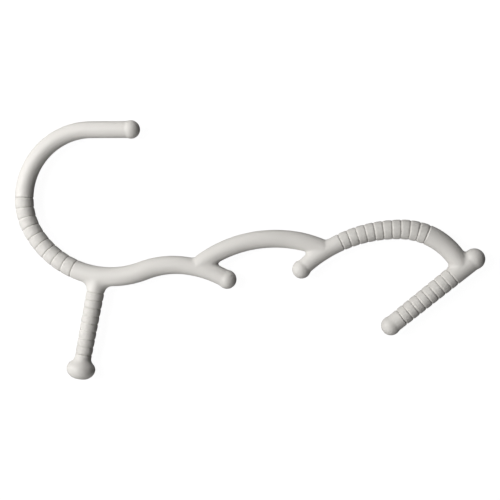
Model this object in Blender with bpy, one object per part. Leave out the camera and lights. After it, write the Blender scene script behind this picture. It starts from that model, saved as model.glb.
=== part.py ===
"""Self-massage cane: a planar hooked tube with five branches, ball knobs and ribbed grips.

The tube is a clamshell of two hollow halves that meet on the cane's mid-plane. Each knob is
pressed on a spigot at the end of a branch, and each grip is a flush sleeve in a recess that
also covers the two screws that hold the halves together there.
Metres, +Z up. The cane lies flat, its length along X, its hook towards +Y.
"""
import math

import bmesh
import bpy
from mathutils import Vector

# ---------------------------------------------------------------- driving dimensions
GAP = 0.0003                  # clearance between pieces that touch
TUBE_DIAMETER = 0.0232        # nominal outside diameter; each stretch swells or slims from it
WALL = 0.0036                 # shell thickness outside the grip recesses
END_WALL = 0.004              # solid plug between the hollow and the neck of a knob
TONGUE_DEPTH = 0.0016         # how far the front shell's lip reaches into the rear shell
TONGUE_THICKNESS = 0.0011

# Branch centrelines: (run, length, swell) or (bend, radius, degrees to the left, swell),
# where swell is the change of diameter at the stretch's far end. A branch starts and ends
# at the neck of its knob, or on the centreline of the branch that it joins.
SPINE_START_SWELL = -0.0010
SPINE = [
    ("run", 0.049, -0.0010),
    ("bend", 0.091, 88.0, 0.0011),
    ("bend", 0.0865, 35.0, 0.0006),
    ("bend", 0.1245, 78.3, 0.0026),
    ("bend", 0.117, -27.0, 0.0001),
    ("bend", 0.148, -21.4, -0.0002),
]
SPINE_HEADING = 179.5
STUB_STATION = (3, 0.1082)    # where the stub handle leaves: the spine's stretch, and how far in
STUB_TURN = -93.2             # its heading, from the spine's heading there
STUB_START_SWELL = 0.0006
STUB = [("run", 0.1154, -0.0016)]
BRIDGE_BACK = 0.0396          # from the spine's end back to where the bridge leaves it
BRIDGE_TURN = 51.7
BRIDGE_START_SWELL = -0.0002
BRIDGE = [("bend", 0.164, -51.0, -0.0001), ("bend", 0.164, -12.4, -0.0016)]
ARCH_JOIN = 0.035             # distance along the arch where the bridge ends
ARCH_TURN = 55.3              # the arch's heading there, from the bridge's heading
ARCH_START_SWELL = -0.0026
ARCH = [
    ("bend", 0.177, -43.8, 0.0016),
    ("bend", 0.085, -29.0, 0.0026),
    ("bend", 0.085, -35.3, 0.0010),
]
HANDLE_TURN = -75.3           # the straight handle's heading, from the arch's last heading
HANDLE_BACK = 0.0139          # from the corner knob's neck to the arch's centreline
HANDLE_START_SWELL = 0.0018
HANDLE = [("run", 0.1252, -0.0004)]

# Knobs: how far each ball stands proud of the tube that carries it
TIP_PROUD = 0.0010
LEFT_SPINE_PROUD = 0.0009
RIGHT_SPINE_PROUD = 0.0018
CORNER_PROUD = 0.0010
HANDLE_END_PROUD = 0.0009
SPIGOT_RADIUS = 0.0058
KNOB_CROWN = 0.0048           # solid left in a knob past the end of its bore
FOOT_PROUD = 0.0081           # the foot knob's rim, past the stub handle's radius
FOOT_TOP_RISE = 0.0125        # half-height of the foot's upper side
FOOT_DOME_RISE = 0.0148       # half-height of its lower side, before the flat
FOOT_FLAT_RADIUS = 0.0080

# Grips: (the branch's stretch, start from that stretch's start, number of ribs, rib pitch)
HOOK_GRIP = (2, 0.0030, 9, 0.0137)
STUB_GRIP = (0, 0.0224, 8, 0.0104)
ARCH_GRIP = (0, 0.0561, 10, 0.0111)
HANDLE_GRIP = (0, 0.0304, 8, 0.0102)
GRIP_THICKNESS = 0.0016
GROOVE_DEPTH = 0.0007
GROOVE_HALF_WIDTH = 0.0007
RIB_CROWN = 0.0002            # how far a rib bulges past the smooth tube

# Shell screws, two under each grip
SCREW_INSET_RIBS = 1.5        # from each end of a grip to a screw, in ribs
SCREW_RADIUS = 0.00125
SCREW_HEAD_RADIUS = 0.0026
SCREW_HEAD_HEIGHT = 0.0017
SCREW_CHAMFER = 0.00045
BOSS_RADIUS = 0.0034
BOSS_BITE = 0.0004            # how far a boss runs into the shell's wall
SCREW_SKIN = 0.0022           # shell left over the tip of a screw
HEAD_SINK = 0.0006            # how deep a head lies below the floor of the recess

# Facets
SIDES = 16
HOLLOW_SIDES = 12
SCREW_SIDES = 12
BEND_STEP = 9.0               # degrees of bend between two rings
RING_SPACING = 0.0008         # rings closer than this are merged
BALL_STEPS = 7
BALL_BACK_STEPS = 4           # facets of a ball behind its neck
SLIVER = 0.00003              # shorter edges left by a cut are closed up
BEYOND = 2.0                  # half-size of a cutting block, past the whole cane
SHARP_ANGLE = 30.0            # edges bent further than this stay sharp

SHELL_COLOUR, SHELL_ROUGHNESS = (0.76, 0.75, 0.72, 1.0), 0.55
GRIP_COLOUR, GRIP_ROUGHNESS = (0.72, 0.71, 0.68, 1.0), 0.7
STEEL_COLOUR, STEEL_ROUGHNESS = (0.58, 0.58, 0.60, 1.0), 0.3


# ---------------------------------------------------------------- centrelines
class Path:
    """A centreline in the cane's mid-plane, walked by distance from its start."""

    def __init__(self, start, heading, start_swell, stretches):
        self.pieces = []
        point, angle, distance = Vector(start), math.radians(heading), 0.0
        diameter = TUBE_DIAMETER + start_swell
        for stretch in stretches:
            turn = math.radians(stretch[2]) if stretch[0] == "bend" else 0.0
            length = stretch[1] * abs(turn) if turn else stretch[1]
            end_diameter = TUBE_DIAMETER + stretch[-1]
            self.pieces.append((distance, length, point, angle, turn, diameter, end_diameter))
            point = walk(point, angle, turn, length)
            angle, distance, diameter = angle + turn, distance + length, end_diameter
        self.length = distance

    def piece_at(self, distance):
        found = self.pieces[0]
        for piece in self.pieces:
            if distance >= piece[0]:
                found = piece
        return found

    def at(self, distance):
        """Point and heading (radians). Past either end the path runs straight on."""
        inside = min(max(distance, 0.0), self.length)
        begin, length, point, angle, turn, _, _ = self.piece_at(inside)
        share = (inside - begin) / length
        heading = angle + turn * share
        here = walk(point, angle, turn * share, length * share)
        return walk(here, heading, 0.0, distance - inside), heading

    def radius(self, distance):
        inside = min(max(distance, 0.0), self.length)
        begin, length, _, _, _, first, last = self.piece_at(inside)
        return (first + (last - first) * (inside - begin) / length) / 2

    def stretch_start(self, number):
        return self.pieces[number][0]

    def rings(self, first, last):
        """Distances between first and last where a swept tube needs a ring."""
        found = [first]
        for begin, length, _, _, turn, _, _ in self.pieces:
            count = max(1, math.ceil(abs(math.degrees(turn)) / BEND_STEP))
            found += [begin + length * i / count for i in range(count + 1)]
        inner = sorted(d for d in found if first + RING_SPACING < d < last - RING_SPACING)
        kept = [first]
        for distance in inner:
            if distance - kept[-1] > RING_SPACING:
                kept.append(distance)
        return kept + [last]

    def shifted(self, offset):
        moved = object.__new__(Path)
        moved.length = self.length
        moved.pieces = [(p[0], p[1], p[2] + offset) + p[3:] for p in self.pieces]
        return moved


def walk(point, angle, turn, length):
    """The end of an arc that starts at point with heading angle and turns by turn."""
    if abs(turn) > 1e-9:
        length = 2 * (length / abs(turn)) * math.sin(abs(turn) / 2)
    middle = angle + turn / 2
    return point + length * Vector((math.cos(middle), math.sin(middle)))


def joined(base, station, turn, start_swell, stretches):
    """A branch that leaves another branch at a station, turned from its heading there."""
    point, heading = base.at(station)
    return Path(point, math.degrees(heading) + turn, start_swell, stretches)


def make_paths():
    spine = Path((0.0, 0.0), SPINE_HEADING, SPINE_START_SWELL, SPINE)
    stub_station = spine.stretch_start(STUB_STATION[0]) + STUB_STATION[1]
    stub = joined(spine, stub_station, STUB_TURN, STUB_START_SWELL, STUB)
    bridge_station = spine.length - BRIDGE_BACK
    bridge = joined(spine, bridge_station, BRIDGE_TURN, BRIDGE_START_SWELL, BRIDGE)
    join_point, join_heading = bridge.at(bridge.length)
    arch = Path((0.0, 0.0), 0.0, ARCH_START_SWELL, ARCH)
    swing = math.degrees(join_heading - arch.at(ARCH_JOIN)[1]) + ARCH_TURN
    arch = Path((0.0, 0.0), swing, ARCH_START_SWELL, ARCH)
    arch = arch.shifted(join_point - arch.at(ARCH_JOIN)[0])
    end_point, end_heading = arch.at(arch.length)
    heading = math.degrees(end_heading) + HANDLE_TURN
    corner = walk(end_point, math.radians(heading), 0.0, -HANDLE_BACK)
    handle = Path(corner, heading, HANDLE_START_SWELL, HANDLE)
    return {"spine": spine, "stub": stub, "bridge": bridge, "arch": arch, "handle": handle}


class Branch:
    """A tube: its path, the radius of the ball knob at either end, and its grip.

    An end without a knob is buried in the branch that it joins. A knob stands on the neck,
    the end face of its tube, which is where the path ends.
    """

    def __init__(self, path, start_proud=None, end_proud=None, foot=False, grip=None):
        self.path, self.foot, self.grip = path, foot, None
        if grip:
            stretch, offset, ribs, pitch = grip
            self.grip = (path.stretch_start(stretch) + offset, ribs, pitch)
        self.start_tube, self.end_tube = path.radius(0.0), path.radius(path.length)
        self.start_ball = None if start_proud is None else self.start_tube + start_proud
        self.end_ball = None if end_proud is None else self.end_tube + end_proud


def neck_reach(ball, tube):
    """From a ball's centre to the plane where the tube's surface meets the ball."""
    return math.sqrt(ball * ball - tube * tube)


def bore_depth(ball, tube):
    return neck_reach(ball, tube) + ball - KNOB_CROWN


def foot_rim(tube):
    return tube + FOOT_PROUD


def foot_neck_height(tube):
    """From the foot's neck plane down to its widest section."""
    return FOOT_TOP_RISE * math.sqrt(1 - (tube / foot_rim(tube)) ** 2)


def foot_flat_drop(tube):
    """From the foot's widest section down to its flat."""
    return FOOT_DOME_RISE * math.sqrt(1 - (FOOT_FLAT_RADIUS / foot_rim(tube)) ** 2)


def foot_bore_depth(tube):
    return foot_neck_height(tube) + foot_flat_drop(tube) - KNOB_CROWN


def make_branches(paths):
    return {
        "spine": Branch(paths["spine"], TIP_PROUD, LEFT_SPINE_PROUD, grip=HOOK_GRIP),
        "stub": Branch(paths["stub"], foot=True, grip=STUB_GRIP),
        "bridge": Branch(paths["bridge"]),
        "arch": Branch(paths["arch"], start_proud=RIGHT_SPINE_PROUD, grip=ARCH_GRIP),
        "handle": Branch(paths["handle"], CORNER_PROUD, HANDLE_END_PROUD, grip=HANDLE_GRIP),
    }


# ---------------------------------------------------------------- mesh tools
def make_object(name, vertices, faces, material=None):
    mesh = bpy.data.meshes.new(name)
    mesh.from_pydata([tuple(v) for v in vertices], [], faces)
    mesh.validate()
    made = bpy.data.objects.new(name, mesh)
    bpy.context.collection.objects.link(made)
    if material:
        mesh.materials.append(material)
    return made


def ring_points(path, distance, radius, sides=SIDES):
    point, heading = path.at(distance)
    across = Vector((-math.sin(heading), math.cos(heading), 0.0))
    centre = Vector((point.x, point.y, 0.0))
    points = []
    for i in range(sides):
        angle = 2 * math.pi * i / sides
        rise = Vector((0.0, 0.0, radius * math.sin(angle)))
        points.append(centre + across * radius * math.cos(angle) + rise)
    return points


def loft(name, rings, closed_loop=False, material=None):
    """Skin rings of equal size. A closed loop joins the last ring to the first."""
    vertices = [v for ring in rings for v in ring]
    count = len(rings[0])
    faces = []
    pairs = len(rings) if closed_loop else len(rings) - 1
    for i in range(pairs):
        a, b = i * count, (i + 1) % len(rings) * count
        for j in range(count):
            k = (j + 1) % count
            faces.append((a + j, b + j, b + k, a + k))
    if not closed_loop:
        faces.append(tuple(range(count)))
        faces.append(tuple((len(rings) - 1) * count + j for j in reversed(range(count))))
    made = make_object(name, vertices, faces, material)
    face_outward(made)
    return made


def face_outward(made):
    """Turn the faces out: a closed mesh with a negative volume is inside out."""
    mesh = made.data
    mesh.calc_loop_triangles()
    volume = 0.0
    for triangle in mesh.loop_triangles:
        a, b, c = (mesh.vertices[i].co for i in triangle.vertices)
        volume += a.dot(b.cross(c))
    if volume < 0:
        mesh.flip_normals()


def sweep(name, path, profile, sides):
    """A solid tube whose (distance, radius) profile may step at one distance."""
    return loft(name, [ring_points(path, d, r, sides) for d, r in profile])


def boolean(target, tool, operation):
    """Cut, join or intersect target with tool, which is used up."""
    modifier = target.modifiers.new(operation.lower(), "BOOLEAN")
    modifier.operation = operation
    modifier.solver = "EXACT"
    modifier.object = tool
    graph = bpy.context.evaluated_depsgraph_get()
    graph.update()
    result = bpy.data.meshes.new_from_object(target.evaluated_get(graph))
    target.modifiers.clear()
    target.data = result
    bpy.data.objects.remove(tool, do_unlink=True)
    weld_slivers(result)


def weld_slivers(mesh):
    """Close up edges too short to matter, which a later cut could stumble on."""
    work = bmesh.new()
    work.from_mesh(mesh)
    bmesh.ops.remove_doubles(work, verts=work.verts, dist=SLIVER)
    bmesh.ops.dissolve_degenerate(work, edges=work.edges, dist=SLIVER / 2)
    work.to_mesh(mesh)
    work.free()


def slab(name, low, high):
    """A block wider than the cane between two heights."""
    square = ((-BEYOND, -BEYOND), (BEYOND, -BEYOND), (BEYOND, BEYOND), (-BEYOND, BEYOND))
    corners = [(x, y, z) for z in (low, high) for x, y in square]
    faces = [(3, 2, 1, 0), (4, 5, 6, 7), (0, 1, 5, 4), (1, 2, 6, 5), (2, 3, 7, 6), (3, 0, 4, 7)]
    return make_object(name, corners, faces)


def upright(name, point, profile, sides, material=None):
    """A body turned about a vertical axis, from a (height, radius) profile."""
    rings = []
    for z, radius in profile:
        angles = [2 * math.pi * i / sides for i in range(sides)]
        rings.append([Vector((point.x + radius * math.cos(a), point.y + radius * math.sin(a), z))
                      for a in angles])
    return loft(name, rings, material=material)


def cylinder(name, point, radius, low, high, sides=SIDES):
    return upright(name, point, [(low, radius), (high, radius)], sides)


def turned(name, origin, heading, profile, material):
    """A body turned about an axis in the mid-plane from an (along, radius) profile.

    The profile's first and last points are on the axis, and both become single points.
    """
    forward = Vector((math.cos(heading), math.sin(heading), 0.0))
    across = Vector((-math.sin(heading), math.cos(heading), 0.0))
    start = Vector((origin.x, origin.y, 0.0))
    vertices = [start + forward * profile[0][0]]
    for along, radius in profile[1:-1]:
        for i in range(SIDES):
            angle = 2 * math.pi * i / SIDES
            side = across * math.cos(angle) + Vector((0.0, 0.0, math.sin(angle)))
            vertices.append(start + forward * along + side * radius)
    vertices.append(start + forward * profile[-1][0])
    faces = []
    rings = len(profile) - 2
    last = len(vertices) - 1
    for j in range(SIDES):
        k = (j + 1) % SIDES
        faces.append((0, 1 + k, 1 + j))
        for i in range(rings - 1):
            a, b = 1 + i * SIDES, 1 + (i + 1) * SIDES
            faces.append((a + j, a + k, b + k, b + j))
        a = 1 + (rings - 1) * SIDES
        faces.append((a + j, a + k, last))
    made = make_object(name, vertices, faces, material)
    face_outward(made)
    return made


def make_material(name, colour, roughness, metallic=0.0):
    material = bpy.data.materials.new(name)
    material.use_nodes = True
    shader = material.node_tree.nodes["Principled BSDF"]
    shader.inputs["Base Color"].default_value = colour
    shader.inputs["Roughness"].default_value = roughness
    shader.inputs["Metallic"].default_value = metallic
    material.diffuse_color = colour
    return material


# ---------------------------------------------------------------- profiles of the shells
def recess_radius(path, distance):
    return path.radius(distance) - GRIP_THICKNESS - GAP


def outer_profile(branch):
    """Tube surface, stepped down to a spigot at a knob and to a recess under a grip."""
    path = branch.path
    profile = []
    if branch.start_ball:
        reach = bore_depth(branch.start_ball, branch.start_tube) - GAP
        profile += [(-reach, SPIGOT_RADIUS), (0.0, SPIGOT_RADIUS)]
    if branch.grip is None:
        profile += [(d, path.radius(d)) for d in path.rings(0.0, path.length)]
    else:
        start, ribs, pitch = branch.grip
        low, high = start - GAP, start + ribs * pitch + GAP
        profile += [(d, path.radius(d)) for d in path.rings(0.0, low)]
        marks = [low] + [start + i * pitch for i in range(1, ribs)] + [high]
        profile += [(d, recess_radius(path, d)) for d in marks]
        profile += [(d, path.radius(d)) for d in path.rings(high, path.length)]
    if branch.foot or branch.end_ball:
        if branch.foot:
            reach = foot_bore_depth(branch.end_tube) - GAP
        else:
            reach = bore_depth(branch.end_ball, branch.end_tube) - GAP
        profile += [(path.length, SPIGOT_RADIUS), (path.length + reach, SPIGOT_RADIUS)]
    return profile


def hollow_profile(branch, growth):
    """The hollow inside a branch, made wider by growth for the lip of the shells."""
    path = branch.path
    first = END_WALL - growth if branch.start_ball else 0.0
    plugged = branch.foot or branch.end_ball
    last = path.length - (END_WALL - growth if plugged else 0.0)
    return [(d, path.radius(d) - WALL + growth) for d in path.rings(first, last)]


def network(branches, profile_of, ball_margin, sides):
    """All branches' tubes joined into one solid, the arch cut clear of the corner ball."""
    whole = None
    for name, branch in branches.items():
        tube = sweep("tube_" + name, branch.path, profile_of(branch), sides)
        if name == "arch":
            boolean(tube, ball_cutter(branches["handle"], ball_margin), "DIFFERENCE")
        if whole is None:
            whole = tube
        else:
            boolean(whole, tube, "UNION")
    return whole


def outer_network(branches):
    return network(branches, outer_profile, GAP, SIDES)


def hollow_network(branches, growth=0.0):
    def profile_of(branch):
        return hollow_profile(branch, growth)
    return network(branches, profile_of, WALL - growth, HOLLOW_SIDES)


# ---------------------------------------------------------------- screws
def screw_places(branches):
    """(path, distance) of each shell screw, two under each grip."""
    places = []
    for branch in branches.values():
        if branch.grip is None:
            continue
        start, ribs, pitch = branch.grip
        for ribs_in in (SCREW_INSET_RIBS, ribs - SCREW_INSET_RIBS):
            places.append((branch.path, start + ribs_in * pitch))
    return places


def screw_heights(places):
    """Height of the heads' seat and of the tips, the same for every screw."""
    slimmest = min(recess_radius(path, distance) for path, distance in places)
    slimmest *= math.cos(math.pi / SIDES)
    return HEAD_SINK + SCREW_HEAD_HEIGHT - slimmest, slimmest - SCREW_SKIN


def add_bosses(front, rear, places):
    seat, tip = screw_heights(places)
    for path, distance in places:
        point = path.at(distance)[0]
        inner = path.radius(distance) - WALL + BOSS_BITE
        boolean(front, cylinder("boss", point, BOSS_RADIUS, GAP / 2, inner), "UNION")
        boolean(rear, cylinder("boss", point, BOSS_RADIUS, -inner, -GAP / 2), "UNION")
        hole = SCREW_RADIUS + GAP
        outside = path.radius(distance) + GAP
        front_hole = cylinder("hole", point, hole, -GAP, tip + GAP, SCREW_SIDES)
        boolean(front, front_hole, "DIFFERENCE")
        rear_hole = cylinder("hole", point, hole, seat - GAP, GAP, SCREW_SIDES)
        boolean(rear, rear_hole, "DIFFERENCE")
        head = SCREW_HEAD_RADIUS + GAP
        sink = cylinder("sink", point, head, -outside, seat, SCREW_SIDES)
        boolean(rear, sink, "DIFFERENCE")


def make_screw(name, path, distance, seat, tip, material):
    """A screw driven from the rear: a chamfered head, a shank and a tapered tip."""
    under_head = seat - GAP
    top = under_head - SCREW_HEAD_HEIGHT
    profile = [
        (top, SCREW_HEAD_RADIUS - SCREW_CHAMFER),
        (top + SCREW_CHAMFER, SCREW_HEAD_RADIUS),
        (under_head, SCREW_HEAD_RADIUS),
        (under_head, SCREW_RADIUS),
        (tip - SCREW_RADIUS, SCREW_RADIUS),
        (tip, SCREW_RADIUS / 2),
    ]
    return upright(name, path.at(distance)[0], profile, SCREW_SIDES, material)


# ---------------------------------------------------------------- sub-parts
def make_shells(branches, places, material):
    """Front half above the mid-plane with a lip, rear half below it with a rebate."""
    front = outer_network(branches)
    front.name = "front_shell"
    rear = make_object("rear_shell", [], [])
    rear.data = front.data.copy()
    boolean(front, slab("cut", -BEYOND, GAP / 2), "DIFFERENCE")
    boolean(rear, slab("cut", -GAP / 2, BEYOND), "DIFFERENCE")

    lip = hollow_network(branches, TONGUE_THICKNESS)
    boolean(lip, slab("keep", -TONGUE_DEPTH, GAP), "INTERSECT")
    boolean(front, lip, "UNION")
    rebate = hollow_network(branches, TONGUE_THICKNESS + GAP)
    boolean(rebate, slab("keep", -TONGUE_DEPTH - GAP, GAP), "INTERSECT")
    boolean(rear, rebate, "DIFFERENCE")
    for shell in (front, rear):
        boolean(shell, hollow_network(branches), "DIFFERENCE")

    add_bosses(front, rear, places)
    for shell in (front, rear):
        shell.data.name = shell.name
        shell.data.materials.clear()
        shell.data.materials.append(material)
    return [front, rear]


def ball_angles(ball, tube):
    """Angles from the ball's pole back to the plane of its neck."""
    neck = math.acos((GAP - neck_reach(ball, tube)) / ball)
    return [neck * i / BALL_STEPS for i in range(BALL_STEPS + 1)]


def knob_seat(branch, at_start):
    """The neck of a knob: its point, its outward heading, and the radii of ball and tube."""
    if at_start:
        point, heading = branch.path.at(0.0)
        return point, heading + math.pi, branch.start_ball, branch.start_tube
    point, heading = branch.path.at(branch.path.length)
    return point, heading, branch.end_ball, branch.end_tube


def make_ball_knob(name, branch, at_start, material):
    """A ball bored for its spigot and cut flat where it meets the tube."""
    neck, heading, ball, tube = knob_seat(branch, at_start)
    middle = neck_reach(ball, tube)
    floor, bore = bore_depth(ball, tube), SPIGOT_RADIUS + GAP
    profile = [(floor, 0.0), (floor, bore), (GAP, bore)]
    for angle in reversed(ball_angles(ball, tube)[1:]):
        profile.append((middle + ball * math.cos(angle), ball * math.sin(angle)))
    profile.append((middle + ball, 0.0))
    return turned(name, neck, heading, profile, material)


def ball_cutter(branch, margin):
    """A whole ball around the knob at a branch's start, wider by margin, facet to facet."""
    neck, heading, ball, tube = knob_seat(branch, True)
    angles = ball_angles(ball, tube)
    rest = (math.pi - angles[-1]) / BALL_BACK_STEPS
    angles += [angles[-1] + rest * i for i in range(1, BALL_BACK_STEPS)]
    middle, radius = neck_reach(ball, tube), ball + margin
    profile = [(middle - radius, 0.0)]
    for angle in reversed(angles[1:]):
        profile.append((middle + radius * math.cos(angle), radius * math.sin(angle)))
    profile.append((middle + radius, 0.0))
    return turned("ball_cutter", neck, heading, profile, None)


def make_foot_knob(name, branch, material):
    """A flattened mushroom: two elliptical sides, a bore at the neck and a flat below."""
    path = branch.path
    origin, heading = path.at(path.length)
    tube = branch.end_tube
    rim, middle = foot_rim(tube), foot_neck_height(tube)
    bore, floor = SPIGOT_RADIUS + GAP, foot_bore_depth(tube)
    profile = [(floor, 0.0), (floor, bore), (GAP, bore)]
    first = math.asin((middle - GAP) / FOOT_TOP_RISE)
    for i in range(BALL_STEPS):
        angle = first * (1 - i / BALL_STEPS)
        profile.append((middle - FOOT_TOP_RISE * math.sin(angle), rim * math.cos(angle)))
    last = math.acos(FOOT_FLAT_RADIUS / rim)
    for i in range(BALL_STEPS + 1):
        angle = last * i / BALL_STEPS
        profile.append((middle + FOOT_DOME_RISE * math.sin(angle), rim * math.cos(angle)))
    profile.append((middle + foot_flat_drop(tube), 0.0))
    return turned(name, origin, heading, profile, material)


def make_grip(name, branch, material):
    """A ribbed sleeve: V-grooves between slightly crowned ribs, flush with the tube."""
    path = branch.path
    start, ribs, pitch = branch.grip
    outer = []
    for i in range(ribs):
        near = start + i * pitch
        far = near + pitch
        outer.append((near, path.radius(near) - GROOVE_DEPTH))
        for distance in (near + GROOVE_HALF_WIDTH, far - GROOVE_HALF_WIDTH):
            outer.append((distance, path.radius(distance) + RIB_CROWN))
    end = start + ribs * pitch
    outer.append((end, path.radius(end) - GROOVE_DEPTH))
    marks = [end - i * pitch for i in range(ribs)] + [start]
    inner = [(d, path.radius(d) - GRIP_THICKNESS) for d in marks]
    rings = [ring_points(path, d, r) for d, r in outer + inner]
    return loft(name, rings, closed_loop=True, material=material)


def seat_on_origin(pieces):
    """Put the origin at the middle of the cane's length and width, on its lowest point."""
    corners = [v.co for piece in pieces for v in piece.data.vertices]
    low = [min(c[i] for c in corners) for i in range(3)]
    high = [max(c[i] for c in corners) for i in range(3)]
    shift = Vector((-(low[0] + high[0]) / 2, -(low[1] + high[1]) / 2, -low[2]))
    for piece in pieces:
        for vertex in piece.data.vertices:
            vertex.co += shift


def finish_shading(pieces):
    for piece in pieces:
        piece.data.shade_smooth()
        piece.data.set_sharp_from_angle(angle=math.radians(SHARP_ANGLE))


def main():
    for old in list(bpy.data.objects):
        bpy.data.objects.remove(old, do_unlink=True)
    branches = make_branches(make_paths())
    places = screw_places(branches)
    shell_plastic = make_material("shell_plastic", SHELL_COLOUR, SHELL_ROUGHNESS)
    grip_rubber = make_material("grip_elastomer", GRIP_COLOUR, GRIP_ROUGHNESS)
    steel = make_material("screw_steel", STEEL_COLOUR, STEEL_ROUGHNESS, metallic=1.0)

    pieces = make_shells(branches, places, shell_plastic)
    spine, arch, handle = branches["spine"], branches["arch"], branches["handle"]
    pieces.append(make_ball_knob("hook_tip_knob", spine, True, shell_plastic))
    pieces.append(make_ball_knob("left_spine_knob", spine, False, shell_plastic))
    pieces.append(make_ball_knob("right_spine_knob", arch, True, shell_plastic))
    pieces.append(make_ball_knob("corner_knob", handle, True, shell_plastic))
    pieces.append(make_ball_knob("handle_end_knob", handle, False, shell_plastic))
    pieces.append(make_foot_knob("foot_knob", branches["stub"], shell_plastic))
    for name, branch in (("hook_grip", spine), ("stub_grip", branches["stub"]),
                         ("arch_grip", arch), ("handle_grip", handle)):
        pieces.append(make_grip(name, branch, grip_rubber))
    seat, tip = screw_heights(places)
    for number, (path, distance) in enumerate(places, start=1):
        name = "shell_screw_" + str(number)
        pieces.append(make_screw(name, path, distance, seat, tip, steel))
    seat_on_origin(pieces)
    finish_shading(pieces)


main()
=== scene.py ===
"""Looks of the self-massage cane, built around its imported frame.

The moulded body is one smooth surface: tubes of changing thickness, balls and a foot, each a
distance field, blended with small fillets. A fine mesh is laid on it, then parted into the
two half shells and the knobs. The ribbed grips are swept sleeves. Metres, +Z up.
"""
import math

import bmesh
import bpy
import numpy as np
from mathutils import Matrix, Vector


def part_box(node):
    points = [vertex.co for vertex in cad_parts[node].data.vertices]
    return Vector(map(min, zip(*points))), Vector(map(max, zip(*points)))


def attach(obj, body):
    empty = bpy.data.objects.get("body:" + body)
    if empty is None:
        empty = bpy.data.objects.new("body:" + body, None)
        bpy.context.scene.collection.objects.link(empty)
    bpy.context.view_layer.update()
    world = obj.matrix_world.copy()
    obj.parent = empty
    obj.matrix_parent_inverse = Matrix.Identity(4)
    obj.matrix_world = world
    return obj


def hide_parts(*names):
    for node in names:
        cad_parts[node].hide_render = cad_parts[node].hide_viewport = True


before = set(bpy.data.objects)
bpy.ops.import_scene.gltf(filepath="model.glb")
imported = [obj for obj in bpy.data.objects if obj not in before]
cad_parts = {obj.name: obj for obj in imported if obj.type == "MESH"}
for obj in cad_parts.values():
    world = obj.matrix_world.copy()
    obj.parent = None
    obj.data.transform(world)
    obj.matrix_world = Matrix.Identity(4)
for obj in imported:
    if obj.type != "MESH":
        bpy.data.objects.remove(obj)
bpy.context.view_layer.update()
TIP_LOW, TIP_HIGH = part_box("hook_tip_knob")
MID = (TIP_LOW.z + TIP_HIGH.z) / 2    # height of the mid-plane that all centrelines lie in

# ---------------------------------------------------------------- sizes shared with the frame
GAP = 0.0003                  # between a grip's end and the tube, as in the frame
TUBE_DIAMETER = 0.0232
SPINE_START_SWELL = -0.0010
SPINE = [
    ("run", 0.049, -0.0010),
    ("bend", 0.091, 88.0, 0.0011),
    ("bend", 0.0865, 35.0, 0.0006),
    ("bend", 0.1245, 78.3, 0.0026),
    ("bend", 0.117, -27.0, 0.0001),
    ("bend", 0.148, -21.4, -0.0002),
]
SPINE_HEADING = 179.5
STUB_STATION = (3, 0.1082)    # the spine's stretch, and how far into it
STUB_TURN = -93.2
STUB_START_SWELL = 0.0006
STUB = [("run", 0.1154, -0.0016)]
BRIDGE_BACK = 0.0396
BRIDGE_TURN = 51.7
BRIDGE_START_SWELL = -0.0002
BRIDGE = [("bend", 0.164, -51.0, -0.0001), ("bend", 0.164, -12.4, -0.0016)]
ARCH_JOIN = 0.035
ARCH_TURN = 55.3
ARCH_START_SWELL = -0.0026
ARCH = [
    ("bend", 0.177, -43.8, 0.0016),
    ("bend", 0.085, -29.0, 0.0026),
    ("bend", 0.085, -35.3, 0.0010),
]
HANDLE_TURN = -75.3
HANDLE_BACK = 0.0139
HANDLE_START_SWELL = 0.0018
HANDLE = [("run", 0.1252, -0.0004)]

TIP_PROUD = 0.0010
LEFT_SPINE_PROUD = 0.0009
RIGHT_SPINE_PROUD = 0.0018
CORNER_PROUD = 0.0010
HANDLE_END_PROUD = 0.0009
FOOT_PROUD = 0.0081
FOOT_TOP_RISE = 0.0125
FOOT_DOME_RISE = 0.0148
FOOT_FLAT_RADIUS = 0.0080

# Grips: the branch's stretch, start from that stretch's start, ribs, rib pitch
HOOK_GRIP = (2, 0.0030, 9, 0.0137)
STUB_GRIP = (0, 0.0224, 8, 0.0104)
ARCH_GRIP = (0, 0.0561, 10, 0.0111)
HANDLE_GRIP = (0, 0.0304, 8, 0.0102)
GRIP_THICKNESS = 0.0016

# ---------------------------------------------------------------- sizes of the fine surface
# Reach of a branch's blend with the branches before it, where they cross at a right angle
FILLETS = {"stub": 0.0125, "bridge": 0.0070, "arch": 0.0070, "handle": 0.0065}
NECK_BLEND = 0.0005           # reach of the blend between a ball and its tube
KNOB_FILLET = 0.0030          # more reach where a ball meets a tube at a right angle
FOOT_BLEND = 0.0050           # reach of the blend between the foot and the stub
FLAT_EDGE = 0.0016            # rounding around the foot's flat
BURIED = 0.0060               # how far a joined branch starts off its neighbour's centreline
VOXEL = 0.0012                # spacing of the body's mesh
SWEEP_SIDES = 32              # sides, and step along the tube, of the rough tubes under it
SWEEP_STEP = 0.004
SETTLE_ROUNDS = 4             # steps that bring the rough mesh onto the surface
RELAX_ROUNDS = 4              # times its spacing is evened out after that
RESETTLE_ROUNDS = 2           # steps back onto the surface after each of those
LAST_ROUNDS = 3               # steps onto the surface at the end
LEAST_SLOPE = 0.2             # squared slope that a step reckons with at least
PROBE = 0.0001                # distance over which the surface's normal is measured
PARTING = 0.00005             # half the fine line between the two half shells
STEP_WIDTH = 0.00015          # width of the step down to the recess under a grip
CLOSE = 0.001                 # skin this near a branch's tube belongs to that branch
CUT_SNAP = 0.00002            # points this near a cut are moved onto it
PARTING_SNAP = 0.00001        # the same for the cut between the half shells
CUT_REACH = 1.35              # how far from its middle a cut reaches, in tube or ball radii
KNOB_REACH = 1.12             # how far from its centre a knob's skin reaches, in ball radii
OUTLINE_STEPS = 721           # steps along half a ball's outline

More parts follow.
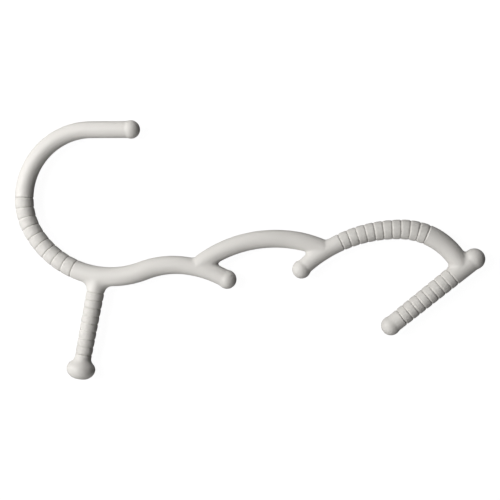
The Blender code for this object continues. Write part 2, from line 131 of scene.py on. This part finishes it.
GRIP_SIDES = 88
GROOVE_DEPTH = 0.0009         # of the grooves between ribs, and of the tube's chamfer beside a grip
GROOVE_HALF_WIDTH = 0.0012
GROOVE_FLOOR = 0.0002         # width of the flat at the bottom of a groove
RIB_CROWN = 0.0002            # how far the middle of a rib stands above its shoulders
RIB_EDGE = 0.00012            # length of the small bevel at a rib's shoulders
RIB_EDGE_DROP = 0.000156      # how far that bevel goes down
RIB_STEPS = 9                 # rings across a rib
RIB_SHARP = math.radians(30.0)  # edges turned more than this stay sharp
OFF_SURFACE = math.radians(20.0)  # a face turned this far off the surface is a chamfer or a cut

NOISE_RANGE = (0.3, 0.7)      # where a noise texture's values mostly lie

FLOOR_HALF = 6.0              # half the floor's side
FLOOR_DROP = 0.0002           # how far it lies under the cane
BACKDROP_RADIUS = 8.0
BACKDROP_DETAIL = 4
ROOM_GLOW = 0.07              # strength of the even light all round
LIGHTS = [                    # name, place, size, power in watts; each faces the origin
    ("key_light", (-1.20, 0.25, 1.22), (0.5, 1.6), 27.0),
    ("upper_light", (-0.5, 1.6, 0.9), (0.8, 0.8), 7.5),
    ("lower_light", (-0.5, -1.6, 0.7), (0.8, 0.8), 7.5),
]
VIEW_DISTANCE = 1.1
VIEW_YAW = math.radians(6.0)
VIEW_ANGLE = math.radians(32.93)
AIM = (0.0087, 0.0005)        # where the camera looks, in the cane's mid-plane


# ---------------------------------------------------------------- centrelines
def heading_vector(angle):
    return np.array((math.cos(angle), math.sin(angle)))


def walk(point, angle, turn, length):
    """The end of an arc that starts at point with heading angle and turns by turn."""
    if abs(turn) > 1e-9:
        length = 2 * (length / abs(turn)) * math.sin(abs(turn) / 2)
    return point + length * heading_vector(angle + turn / 2)


class Path:
    """A centreline in the mid-plane, walked by distance, with a tube radius along it."""

    def __init__(self, start, heading, start_swell, stretches):
        self.pieces = []
        point, angle, distance = np.array(start, float), math.radians(heading), 0.0
        diameter = TUBE_DIAMETER + start_swell
        for stretch in stretches:
            turn = math.radians(stretch[2]) if stretch[0] == "bend" else 0.0
            length = stretch[1] * abs(turn) if turn else stretch[1]
            end_diameter = TUBE_DIAMETER + stretch[-1]
            self.pieces.append((distance, length, point, angle, turn, diameter, end_diameter))
            point = walk(point, angle, turn, length)
            angle, distance, diameter = angle + turn, distance + length, end_diameter
        self.length = distance

    def piece_at(self, distance):
        found = self.pieces[0]
        for piece in self.pieces:
            if distance >= piece[0]:
                found = piece
        return found

    def at(self, distance):
        """Point and heading (radians)."""
        begin, length, point, angle, turn, _, _ = self.piece_at(distance)
        share = (distance - begin) / length
        return walk(point, angle, turn * share, length * share), angle + turn * share

    def radius(self, distance):
        begin, length, _, _, _, first, last = self.piece_at(distance)
        return (first + (last - first) * (distance - begin) / length) / 2

    def stretch_start(self, number):
        return self.pieces[number][0]

    def shifted(self, offset):
        self.pieces = [(p[0], p[1], p[2] + offset) + p[3:] for p in self.pieces]
        return self

    def nearest(self, points, first, last):
        """For each point: distance along the path of the nearest place, and that place."""
        best = np.full(len(points), np.inf)
        station = np.zeros(len(points))
        place = np.zeros((len(points), 2))
        for begin, length, start, angle, turn, _, _ in self.pieces:
            low, high = max(first, begin), min(last, begin + length)
            if low >= high:
                continue
            if turn:
                radius = length / abs(turn)
                side = math.copysign(1.0, turn)
                centre = start + side * radius * heading_vector(angle + math.pi / 2)
                away = points - centre
                bearing = np.arctan2(away[:, 1], away[:, 0])
                from_start = side * (bearing - (angle - side * math.pi / 2)) - abs(turn) / 2
                swept = (from_start + math.pi) % (2 * math.pi) - math.pi + abs(turn) / 2
                along = np.clip(begin + swept * radius, low, high)
                bearing = angle - side * math.pi / 2 + side * (along - begin) / radius
                here = centre + radius * np.stack((np.cos(bearing), np.sin(bearing)), axis=1)
            else:
                forward = heading_vector(angle)
                along = np.clip(begin + (points - start) @ forward, low, high)
                here = start + (along - begin)[:, None] * forward
            gap = np.linalg.norm(points - here, axis=1)
            nearer = gap < best
            best[nearer], station[nearer], place[nearer] = gap[nearer], along[nearer], here[nearer]
        return station, place

    def radii(self, station):
        marks = [self.pieces[0][0]] + [p[0] + p[1] for p in self.pieces]
        values = [self.pieces[0][5] / 2] + [p[6] / 2 for p in self.pieces]
        return np.interp(station, marks, values)


def joined(base, station, turn, start_swell, stretches):
    """A branch that leaves another branch at a station, turned from its heading there."""
    point, heading = base.at(station)
    return Path(point, math.degrees(heading) + turn, start_swell, stretches)


def neck_reach(ball, tube):
    return math.sqrt(ball * ball - tube * tube)


def spine_start():
    """The neck of the hook's tip, from the box of its knob in the frame."""
    tube = (TUBE_DIAMETER + SPINE_START_SWELL) / 2
    ball = tube + TIP_PROUD
    heading = math.radians(SPINE_HEADING)
    centre = np.array((TIP_HIGH.x - ball, (TIP_LOW.y + TIP_HIGH.y) / 2))
    return centre + neck_reach(ball, tube) * heading_vector(heading)


def make_paths():
    spine = Path(spine_start(), SPINE_HEADING, SPINE_START_SWELL, SPINE)
    stub_station = spine.stretch_start(STUB_STATION[0]) + STUB_STATION[1]
    stub = joined(spine, stub_station, STUB_TURN, STUB_START_SWELL, STUB)
    bridge_station = spine.length - BRIDGE_BACK
    bridge = joined(spine, bridge_station, BRIDGE_TURN, BRIDGE_START_SWELL, BRIDGE)
    join_point, join_heading = bridge.at(bridge.length)
    arch = Path((0.0, 0.0), 0.0, ARCH_START_SWELL, ARCH)
    swing = math.degrees(join_heading - arch.at(ARCH_JOIN)[1]) + ARCH_TURN
    arch = Path((0.0, 0.0), swing, ARCH_START_SWELL, ARCH)
    arch.shifted(join_point - arch.at(ARCH_JOIN)[0])
    end_point, end_heading = arch.at(arch.length)
    heading = math.degrees(end_heading) + HANDLE_TURN
    corner = walk(end_point, math.radians(heading), 0.0, -HANDLE_BACK)
    handle = Path(corner, heading, HANDLE_START_SWELL, HANDLE)
    return {"spine": spine, "stub": stub, "bridge": bridge, "arch": arch, "handle": handle}


PATHS = make_paths()
GRIPS = {
    "hook_grip": (PATHS["spine"], HOOK_GRIP),
    "stub_grip": (PATHS["stub"], STUB_GRIP),
    "arch_grip": (PATHS["arch"], ARCH_GRIP),
    "handle_grip": (PATHS["handle"], HANDLE_GRIP),
}


def used_stretch(name, path):
    """The part of a path that is blended in: joined ends stop short of the centreline."""
    first = BURIED if name in ("stub", "bridge") else 0.0
    last = path.length - (BURIED if name in ("bridge", "arch") else 0.0)
    return first, last


class Knob:
    """A ball or a foot at a branch's end: its neck, its outward direction and its centre."""

    def __init__(self, name, path, at_start, proud, foot=False):
        self.name, self.foot = name, foot
        neck, heading = path.at(0.0 if at_start else path.length)
        if at_start:
            heading += math.pi
        self.tube = path.radius(0.0 if at_start else path.length)
        self.ball = self.tube + proud
        self.out = np.append(heading_vector(heading), 0.0)
        self.neck = np.append(neck, MID)
        if foot:
            reach = FOOT_TOP_RISE * math.sqrt(1 - (self.tube / self.ball) ** 2)
        else:
            reach = neck_reach(self.ball, self.tube)
        self.centre = self.neck + reach * self.out
        self.flat = FOOT_DOME_RISE * math.sqrt(1 - (FOOT_FLAT_RADIUS / self.ball) ** 2)

    def field(self, points):
        """For each point: about how far outside the knob it lies, and the slope of that."""
        away = points - self.centre
        if not self.foot:
            length = np.linalg.norm(away, axis=1)
            return length - self.ball, away / np.maximum(length, 1e-9)[:, None]
        along = away @ self.out
        across = away - along[:, None] * self.out
        rise = np.where(along > 0, FOOT_DOME_RISE, FOOT_TOP_RISE)
        scaled = across / self.ball + (along / rise)[:, None] * self.out
        slope = across / self.ball ** 2 + (along / rise ** 2)[:, None] * self.out
        size = np.maximum(np.linalg.norm(scaled, axis=1), 1e-9)
        steep = np.maximum(np.linalg.norm(slope, axis=1), 1e-9)
        dome = size * (size - 1) / steep, slope / steep[:, None]
        level = along - self.flat, np.tile(self.out, (len(points), 1))
        value, slope = blended((-dome[0], -dome[1]), (-level[0], -level[1]), FLAT_EDGE)
        return -value, -slope


KNOBS = [
    Knob("hook_tip_knob", PATHS["spine"], True, TIP_PROUD),
    Knob("left_spine_knob", PATHS["spine"], False, LEFT_SPINE_PROUD),
    Knob("right_spine_knob", PATHS["arch"], True, RIGHT_SPINE_PROUD),
    Knob("corner_knob", PATHS["handle"], True, CORNER_PROUD),
    Knob("handle_end_knob", PATHS["handle"], False, HANDLE_END_PROUD),
    Knob("foot_knob", PATHS["stub"], False, FOOT_PROUD, foot=True),
]


# ---------------------------------------------------------------- the blended surface
def blended(one, other, reach):
    """Smooth minimum of two distance fields, each a (value, slope) pair."""
    reach = np.maximum(reach, 1e-7)
    share = np.clip(0.5 + 0.5 * (other[0] - one[0]) / reach, 0.0, 1.0)
    value = other[0] * (1 - share) + one[0] * share - reach * share * (1 - share)
    slope = other[1] * (1 - share)[:, None] + one[1] * share[:, None]
    return value, slope


def tube_field(name, path, points):
    """For each point: how far outside a branch's tube it lies, and the slope of that."""
    first, last = used_stretch(name, path)
    station, place = path.nearest(points[:, :2], first, last)
    away = points - np.column_stack((place, np.full(len(points), MID)))
    length = np.maximum(np.linalg.norm(away, axis=1), 1e-9)
    return length - path.radii(station), away / length[:, None]


def crossing(one, other):
    """0 where two surfaces run alike, 1 where they cross at a right angle or more."""
    return np.clip(1 - np.einsum("ij,ij->i", one[1], other[1]), 0.0, 1.0)


def tubes_field(points):
    """All tubes, with a fillet that fades out where their surfaces are already parallel."""
    whole = None
    for name, path in PATHS.items():
        tube = tube_field(name, path, points)
        if whole is None:
            whole = tube
            continue
        whole = blended(whole, tube, FILLETS[name] * crossing(whole, tube))
    return whole


def body_field(points):
    """The tubes and the knobs, blended."""
    whole = tubes_field(points)
    for knob in KNOBS:
        ball = knob.field(points)
        reach = FOOT_BLEND if knob.foot else NECK_BLEND + KNOB_FILLET * crossing(whole, ball)
        whole = blended(whole, ball, reach)
    return whole


def settle(points, rounds):
    """Move points along the field's slope until they lie on the surface."""
    for _ in range(rounds):
        value, slope = body_field(points)
        size = np.maximum(np.einsum("ij,ij->i", slope, slope), LEAST_SLOPE)
        points = points - (value / size)[:, None] * slope
    return points


def surface_normals(points):
    """The field's slope at each point, at unit length."""
    found = np.zeros_like(points)
    for axis in range(3):
        shift = np.zeros(3)
        shift[axis] = PROBE
        found[:, axis] = body_field(points + shift)[0] - body_field(points - shift)[0]
    return found / np.maximum(np.linalg.norm(found, axis=1), 1e-12)[:, None]


# ---------------------------------------------------------------- mesh tools
def new_object(name, mesh):
    made = bpy.data.objects.new(name, mesh)
    bpy.context.scene.collection.objects.link(made)
    return made


def ring(path, distance, radius, sides):
    """Points round a circle that stands across a path."""
    point, heading = path.at(distance)
    angles = 2 * math.pi * np.arange(sides) / sides
    across = np.array((-math.sin(heading), math.cos(heading), 0.0))
    points = np.append(point, MID) + radius * np.cos(angles)[:, None] * across
    points[:, 2] += radius * np.sin(angles)
    return points


def loft_faces(rings, sides, closed_loop=False):
    """Faces between rings of points: a tube with flat ends, or a loop of rings."""
    faces = []
    for i in range(rings if closed_loop else rings - 1):
        a, b = i * sides, (i + 1) % rings * sides
        faces += [(a + j, b + j, b + (j + 1) % sides, a + (j + 1) % sides) for j in range(sides)]
    if not closed_loop:
        faces.append(tuple(range(sides)))
        faces.append(tuple((rings - 1) * sides + j for j in reversed(range(sides))))
    return faces


def rough_body():
    """Overlapping tubes and balls that the fine mesh is drawn around."""
    work = bmesh.new()
    for path in PATHS.values():
        count = max(2, math.ceil(path.length / SWEEP_STEP))
        rings = [ring(path, path.length * i / count, path.radius(path.length * i / count),
                      SWEEP_SIDES) for i in range(count + 1)]
        vertices = [work.verts.new(p) for p in np.concatenate(rings)]
        for face in loft_faces(count + 1, SWEEP_SIDES):
            work.faces.new([vertices[i] for i in face])
    for knob in KNOBS:
        place = Matrix.Translation(Vector(knob.centre))
        if knob.foot:
            turn = Vector((0.0, 0.0, 1.0)).rotation_difference(Vector(knob.out)).to_matrix()
            place = place @ turn.to_4x4() @ Matrix.Diagonal((1, 1, FOOT_TOP_RISE / knob.ball, 1))
        bmesh.ops.create_uvsphere(work, u_segments=SWEEP_SIDES, v_segments=SWEEP_SIDES // 2,
                                  radius=knob.ball, matrix=place)
    bmesh.ops.recalc_face_normals(work, faces=work.faces)
    mesh = bpy.data.meshes.new("body")
    work.to_mesh(mesh)
    work.free()
    return new_object("body", mesh)


def remeshed(rough):
    """An even mesh around the rough shapes, which are removed."""
    modifier = rough.modifiers.new("even", "REMESH")
    modifier.mode = "VOXEL"
    modifier.voxel_size = VOXEL
    graph = bpy.context.evaluated_depsgraph_get()
    graph.update()
    mesh = bpy.data.meshes.new_from_object(rough.evaluated_get(graph))
    old = rough.data
    bpy.data.objects.remove(rough, do_unlink=True)
    bpy.data.meshes.remove(old)
    return mesh


def coordinates(mesh):
    found = np.empty(len(mesh.vertices) * 3, np.float32)
    mesh.vertices.foreach_get("co", found)
    return found.reshape(-1, 3).astype(float)


def relax(points, edges):
    """Even out the spacing: halfway to the mean of the neighbours."""
    ends = np.concatenate((edges, edges[:, ::-1]))
    count = np.bincount(ends[:, 0], minlength=len(points))
    total = [np.bincount(ends[:, 0], weights=points[ends[:, 1], i], minlength=len(points))
             for i in range(3)]
    mean = np.stack(total, axis=1) / np.maximum(count, 1)[:, None]
    return (points + mean) / 2


def smooth_body():
    """One even mesh whose points lie on the blended surface."""
    mesh = remeshed(rough_body())
    points = settle(coordinates(mesh), SETTLE_ROUNDS)
    edges = np.empty(len(mesh.edges) * 2, np.int32)
    mesh.edges.foreach_get("vertices", edges)
    for _ in range(RELAX_ROUNDS):
        points = settle(relax(points, edges.reshape(-1, 2)), RESETTLE_ROUNDS)
    points = settle(points, LAST_ROUNDS)
    mesh.vertices.foreach_set("co", points.astype(np.float32).ravel())
    return mesh


def cut_across(work, point, normal, reach):
    """Cut the mesh by a plane, only around a point, and leave both sides joined."""
    point, normal = Vector(point), Vector(normal)
    near = [f for f in work.faces if (f.calc_center_median() - point).length < reach]
    edges = {e for f in near for e in f.edges}
    vertices = {v for f in near for v in f.verts}
    bmesh.ops.bisect_plane(work, geom=near + list(edges) + list(vertices), dist=CUT_SNAP,
                           plane_co=point, plane_no=normal)


def grip_span(path, grip):
    """Where a grip starts and ends along its branch."""
    stretch, offset, ribs, pitch = grip
    start = path.stretch_start(stretch) + offset
    return start, start + ribs * pitch


def parting_plane(knob):
    """A point of the plane that parts a knob from the rest, and its outward direction.

    The corner's ball is cut off through the two ends of its free outline, because the arch
    meets it beside the neck. The others are cut off at their necks.
    """
    if knob.name != "corner_knob":
        return knob.neck, knob.out
    outward = math.atan2(knob.out[1], knob.out[0])
    ends = []
    for side in (1, -1):
        bearings = outward + side * np.linspace(0.0, math.pi, OUTLINE_STEPS)
        level = np.full(OUTLINE_STEPS, MID)
        outline = knob.centre[:2] + knob.ball * np.stack((np.cos(bearings), np.sin(bearings)), axis=1)
        covered = tubes_field(np.column_stack((outline, level)))[0] < 0
        ends.append(outline[np.argmax(covered)])
    along = ends[0] - ends[1]
    normal = np.array((along[1], -along[0], 0.0)) / np.linalg.norm(along)
    if normal @ knob.out < 0:
        normal = -normal
    return np.append((ends[0] + ends[1]) / 2, MID), normal


def cut_recess_edges(work):
    """Rings for the tube's chamfer, its foot and the step down to the recess."""
    for path, grip in GRIPS.values():
        low, high = grip_span(path, grip)
        reaches = (GAP + GROOVE_HALF_WIDTH, GAP, GAP - STEP_WIDTH)
        for distance in [low - r for r in reaches] + [high + r for r in reaches]:
            point, heading = path.at(distance)
            normal = np.append(heading_vector(heading), 0.0)
            cut_across(work, np.append(point, MID), normal, path.radius(distance) * CUT_REACH)


def sink_recesses(points, normals):
    """Push what lies under a grip down into its recess, past a chamfer at its edge."""
    depth = np.zeros(len(points))
    slack = STEP_WIDTH / 3
    for path, grip in GRIPS.values():
        low, high = grip_span(path, grip)
        station, place = path.nearest(points[:, :2], 0.0, path.length)
        away = points - np.column_stack((place, np.full(len(points), MID)))
        close = np.linalg.norm(away, axis=1) < path.radii(station) + CLOSE
        inward = np.minimum(station - low, high - station)
        slope = np.clip(1 + (inward + GAP) / GROOVE_HALF_WIDTH, 0.0, 1.0) * GROOVE_DEPTH
        depth[close] = np.maximum(depth, slope)[close]
        depth[close & (inward > -GAP + STEP_WIDTH - slack)] = GRIP_THICKNESS + GAP
    return points - normals * depth[:, None]


def fill_holes(work):
    """Close every open loop with triangles, each loop by itself."""
    edges = [e for e in work.edges if e.is_boundary]
    waiting = set(edges)
    for edge in edges:
        if edge not in waiting:
            continue
        waiting.remove(edge)
        loop = [edge]
        for found in loop:
            for beside in found.verts[0].link_edges[:] + found.verts[1].link_edges[:]:
                if beside in waiting:
                    waiting.remove(beside)
                    loop.append(beside)
        bmesh.ops.triangle_fill(work, use_beauty=True, use_dissolve=False, edges=loop)
    bmesh.ops.recalc_face_normals(work, faces=work.faces)


def faces_of(source, keep):
    """A new mesh of the faces that keep is True for."""
    work = source.copy()
    work.faces.ensure_lookup_table()
    drop = [f for f, kept in zip(work.faces, keep) if not kept]
    bmesh.ops.delete(work, geom=drop, context="FACES")
    return work


def finish_piece(name, work):
    """Store a piece. Its skin takes the surface's own normals, its chamfers and cuts their own."""
    mesh = bpy.data.meshes.new(name)
    work.to_mesh(mesh)
    work.free()
    loops = np.empty(len(mesh.loops), np.int32)
    mesh.loops.foreach_get("vertex_index", loops)
    loop_normals = surface_normals(coordinates(mesh))[loops]
    sizes = [len(polygon.vertices) for polygon in mesh.polygons]
    face_normals = np.repeat([polygon.normal[:] for polygon in mesh.polygons], sizes, axis=0)
    off = np.einsum("ij,ij->i", loop_normals, face_normals) < math.cos(OFF_SURFACE)
    loop_normals[off] = face_normals[off]
    mesh.shade_smooth()
    mesh.normals_split_custom_set(loop_normals.tolist())
    return new_object(name, mesh)


def part_knobs(work):
    """Cut the knobs off. Returns their pieces, and the mesh of what is left."""
    planes = [parting_plane(knob) for knob in KNOBS]
    for knob, (point, normal) in zip(KNOBS, planes):
        cut_across(work, point, normal, knob.ball * CUT_REACH)
    cut_recess_edges(work)
    centres = np.array([f.calc_center_median() for f in work.faces], float)
    owner = np.full(len(centres), -1)
    for number, (knob, (point, normal)) in enumerate(zip(KNOBS, planes)):
        beyond = (centres - point) @ normal > 0
        close = np.linalg.norm(centres - knob.centre, axis=1) < knob.ball * KNOB_REACH
        owner[beyond & close] = number
    pieces = {}
    for number, knob in enumerate(KNOBS):
        piece = faces_of(work, owner == number)
        fill_holes(piece)
        pieces[knob.name] = finish_piece(knob.name + "_skin", piece)
    return pieces, faces_of(work, owner == -1)


def part_shells(whole):
    """Sink the recesses, then part the tubes in the mid-plane. Returns the two halves."""
    fill_holes(whole)
    points = np.array([v.co for v in whole.verts], float)
    for vertex, point in zip(whole.verts, sink_recesses(points, surface_normals(points))):
        vertex.co = Vector(point)
    pieces = {}
    for side, name in ((1, "front_shell"), (-1, "rear_shell")):
        half = whole.copy()
        bmesh.ops.bisect_plane(
            half, geom=list(half.verts) + list(half.edges) + list(half.faces),
            dist=PARTING_SNAP, plane_co=(0.0, 0.0, MID + side * PARTING),
            plane_no=(0.0, 0.0, side), clear_inner=True)
        fill_holes(half)
        half.normal_update()
        pieces[name] = finish_piece(name + "_skin", half)
    return pieces


def part_body(mesh):
    """Knobs cut off at their necks, then the rest parted into the front and rear shells."""
    work = bmesh.new()
    work.from_mesh(mesh)
    pieces, tubes = part_knobs(work)
    work.free()
    pieces.update(part_shells(tubes))
    tubes.free()
    return pieces


# ---------------------------------------------------------------- grips
def grip_profile(path, grip):
    """(distance, radius) of the outside: slightly barrelled ribs parted by V-grooves."""
    start, end = grip_span(path, grip)
    ribs, pitch = grip[2:]
    half = pitch / 2 - GROOVE_HALF_WIDTH
    profile = [(start, path.radius(start) - GROOVE_DEPTH)]
    for i in range(ribs):
        middle = start + (i + 0.5) * pitch
        profile.append((middle - half - RIB_EDGE, path.radius(middle - half) - RIB_EDGE_DROP))
        for share in np.linspace(-1.0, 1.0, RIB_STEPS):
            distance = middle + share * (half - RIB_EDGE)
            profile.append((distance, path.radius(distance) + RIB_CROWN * (1 - share * share)))
        profile.append((middle + half + RIB_EDGE, path.radius(middle + half) - RIB_EDGE_DROP))
        if i < ribs - 1:
            bottom = middle + pitch / 2
            depth = path.radius(bottom) - GROOVE_DEPTH
            profile += [(bottom - GROOVE_FLOOR / 2, depth), (bottom + GROOVE_FLOOR / 2, depth)]
    return profile + [(end, path.radius(end) - GROOVE_DEPTH)]


def make_grip(name, path, grip):
    """A closed sleeve, its inside one ring per rib."""
    start, end = grip_span(path, grip)
    profile = grip_profile(path, grip)
    inside = np.linspace(end, start, grip[2] + 1)
    profile += [(d, path.radius(d) - GRIP_THICKNESS) for d in inside]
    rings = np.concatenate([ring(path, d, r, GRIP_SIDES) for d, r in profile])
    faces = loft_faces(len(profile), GRIP_SIDES, closed_loop=True)
    mesh = bpy.data.meshes.new(name)
    mesh.from_pydata(rings.tolist(), [], faces)
    work = bmesh.new()
    work.from_mesh(mesh)
    bmesh.ops.recalc_face_normals(work, faces=work.faces)
    work.to_mesh(mesh)
    work.free()
    mesh.shade_smooth()
    mesh.set_sharp_from_angle(angle=RIB_SHARP)
    return new_object(name, mesh)


# ---------------------------------------------------------------- materials
class Nodes:
    """A short way to write a material's node tree."""

    def __init__(self, name):
        self.material = bpy.data.materials.new(name)
        self.material.use_nodes = True
        self.tree = self.material.node_tree
        self.shader = self.tree.nodes["Principled BSDF"]
        self.place = self.tree.nodes.new("ShaderNodeTexCoord").outputs["Object"]

    def link(self, source, target):
        self.tree.links.new(source, target)

    def noise(self, scale, detail):
        node = self.tree.nodes.new("ShaderNodeTexNoise")
        node.inputs["Scale"].default_value = scale
        node.inputs["Detail"].default_value = detail
        self.link(self.place, node.inputs["Vector"])
        return node.outputs["Fac"]

    def spread(self, source, low, high):
        node = self.tree.nodes.new("ShaderNodeMapRange")
        node.inputs["From Min"].default_value = NOISE_RANGE[0]
        node.inputs["From Max"].default_value = NOISE_RANGE[1]
        node.inputs["To Min"].default_value = low
        node.inputs["To Max"].default_value = high
        self.link(source, node.inputs["Value"])
        return node.outputs["Result"]

    def tint(self, source, one, other):
        node = self.tree.nodes.new("ShaderNodeMix")
        node.data_type = "RGBA"
        node.inputs["A"].default_value = one
        node.inputs["B"].default_value = other
        self.link(source, node.inputs["Factor"])
        return node.outputs["Result"]

    def bump(self, source, strength, distance, under=None):
        node = self.tree.nodes.new("ShaderNodeBump")
        node.inputs["Strength"].default_value = strength
        node.inputs["Distance"].default_value = distance
        self.link(source, node.inputs["Height"])
        if under:
            self.link(under, node.inputs["Normal"])
        return node.outputs["Normal"]


def matte_plastic():
    """Moulded warm-white plastic: faint mottling, satin surface with a fine spark texture."""
    nodes = Nodes("moulded_plastic")
    mottling = nodes.spread(nodes.noise(scale=28.0, detail=3.0), low=0.0, high=1.0)
    shade = nodes.tint(mottling, (0.762, 0.741, 0.704, 1.0), (0.792, 0.770, 0.733, 1.0))
    satin = nodes.spread(nodes.noise(scale=160.0, detail=2.0), low=0.46, high=0.56)
    grain = nodes.bump(nodes.noise(scale=1500.0, detail=2.0), strength=0.10, distance=0.0002)
    nodes.link(shade, nodes.shader.inputs["Base Color"])
    nodes.link(satin, nodes.shader.inputs["Roughness"])
    nodes.link(grain, nodes.shader.inputs["Normal"])
    nodes.shader.inputs["Specular IOR Level"].default_value = 0.35
    return nodes.material


def grip_elastomer():
    """Overmoulded grip: a touch darker and more matt, with a fine leathery grain."""
    nodes = Nodes("grip_elastomer")
    mottling = nodes.spread(nodes.noise(scale=300.0, detail=4.0), low=0.0, high=1.0)
    shade = nodes.tint(mottling, (0.715, 0.694, 0.658, 1.0), (0.775, 0.753, 0.716, 1.0))
    matt = nodes.spread(nodes.noise(scale=500.0, detail=2.0), low=0.60, high=0.74)
    coarse = nodes.bump(nodes.noise(scale=420.0, detail=2.0), strength=0.22, distance=0.0005)
    fine = nodes.noise(scale=1300.0, detail=3.0)
    grain = nodes.bump(fine, strength=0.40, distance=0.0004, under=coarse)
    nodes.link(shade, nodes.shader.inputs["Base Color"])
    nodes.link(matt, nodes.shader.inputs["Roughness"])
    nodes.link(grain, nodes.shader.inputs["Normal"])
    nodes.shader.inputs["Specular IOR Level"].default_value = 0.25
    return nodes.material


def screw_steel():
    """Turned steel, slightly uneven in colour and gloss."""
    nodes = Nodes("screw_steel")
    stains = nodes.noise(scale=900.0, detail=3.0)
    shade = nodes.tint(stains, (0.50, 0.50, 0.52, 1.0), (0.62, 0.62, 0.64, 1.0))
    gloss = nodes.spread(nodes.noise(scale=2500.0, detail=2.0), low=0.25, high=0.42)
    grain = nodes.bump(nodes.noise(scale=3000.0, detail=2.0), strength=0.1, distance=0.0001)
    nodes.link(shade, nodes.shader.inputs["Base Color"])
    nodes.link(gloss, nodes.shader.inputs["Roughness"])
    nodes.link(grain, nodes.shader.inputs["Normal"])
    nodes.shader.inputs["Metallic"].default_value = 1.0
    return nodes.material


def pale_stage(name, colour, glow, share):
    """Stage material: mostly its own pale glow, and a share that takes light and shadow."""
    material = bpy.data.materials.new(name)
    material.use_nodes = True
    shader = material.node_tree.nodes["Principled BSDF"]
    shader.inputs["Base Color"].default_value = (*[c * share for c in colour], 1.0)
    shader.inputs["Roughness"].default_value = 1.0
    shader.inputs["Specular IOR Level"].default_value = 0.0
    shader.inputs["Emission Color"].default_value = (*colour, 1.0)
    shader.inputs["Emission Strength"].default_value = glow
    return material


# ---------------------------------------------------------------- stage, light and camera
def only_seen(piece):
    """The stage is seen by the camera, and throws no light or shade on the cane."""
    piece.visible_diffuse = False
    piece.visible_glossy = False
    piece.visible_transmission = False
    piece.visible_shadow = False


def stage_piece(name, work, paint):
    mesh = bpy.data.meshes.new(name)
    work.to_mesh(mesh)
    work.free()
    mesh.materials.append(paint)
    return new_object(name, mesh)


def make_stage():
    """A pale floor that takes a faint shadow, inside a large pale globe."""
    work = bmesh.new()
    bmesh.ops.create_grid(work, x_segments=1, y_segments=1, size=FLOOR_HALF)
    paint = pale_stage("floor_paint", (1.0, 1.0, 1.0), glow=0.96, share=0.12)
    floor = stage_piece("floor", work, paint)
    floor.location.z = -FLOOR_DROP
    work = bmesh.new()
    bmesh.ops.create_icosphere(work, subdivisions=BACKDROP_DETAIL, radius=BACKDROP_RADIUS)
    bmesh.ops.reverse_faces(work, faces=work.faces)
    paint = pale_stage("backdrop_paint", (0.97, 0.97, 0.97), glow=1.0, share=0.0)
    backdrop = stage_piece("backdrop", work, paint)
    for piece in (floor, backdrop):
        only_seen(piece)


def add_light(name, place, size, power):
    """A rectangular light that faces the origin and isn't seen itself."""
    light = bpy.data.lights.new(name, "AREA")
    light.shape = "RECTANGLE"
    light.size, light.size_y = size
    light.energy = power
    made = bpy.data.objects.new(name, light)
    bpy.context.scene.collection.objects.link(made)
    made.location = place
    made.rotation_euler = (-Vector(place)).to_track_quat("-Z", "Y").to_euler()
    made.visible_camera = False


def light_the_room():
    """A tall soft key on the left, weak lights above and below, and a little light all round."""
    world = bpy.data.worlds.new("studio")
    bpy.context.scene.world = world
    world.use_nodes = True
    background = world.node_tree.nodes["Background"]
    background.inputs["Color"].default_value = (1.0, 0.99, 0.97, 1.0)
    background.inputs["Strength"].default_value = ROOM_GLOW
    for name, place, size, power in LIGHTS:
        add_light(name, place, size, power)


def place_camera():
    """Above the cane, looking down on it, swung a few degrees towards +X."""
    right = Vector((math.cos(VIEW_YAW), 0.0, -math.sin(VIEW_YAW)))
    back = Vector((math.sin(VIEW_YAW), 0.0, math.cos(VIEW_YAW)))
    up = Vector((0.0, 1.0, 0.0))
    camera = bpy.data.objects.new("camera", bpy.data.cameras.new("camera"))
    bpy.context.scene.collection.objects.link(camera)
    camera.data.angle = VIEW_ANGLE
    turn = Matrix((right, up, back)).transposed()
    camera.matrix_world = Matrix.Translation(
        Vector((*AIM, MID)) + back * VIEW_DISTANCE) @ turn.to_4x4()
    bpy.context.scene.camera = camera


# ---------------------------------------------------------------- assembly
def dress(piece, nodes, material):
    """Give a piece its material, hang it on the root body, and hide the frame's part it stands for.
    """
    piece.data.materials.append(material)
    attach(piece, "root")
    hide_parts(nodes)


plastic = matte_plastic()
elastomer = grip_elastomer()
for name, piece in part_body(smooth_body()).items():
    dress(piece, name, plastic)
for name, (path, grip) in GRIPS.items():
    dress(make_grip(name + "_skin", path, grip), name, elastomer)
steel = screw_steel()
for name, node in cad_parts.items():
    if name.startswith("shell_screw_"):
        for slot in node.material_slots:
            slot.material = steel

make_stage()
light_the_room()
place_camera()
bpy.context.scene.view_settings.view_transform = "Standard"
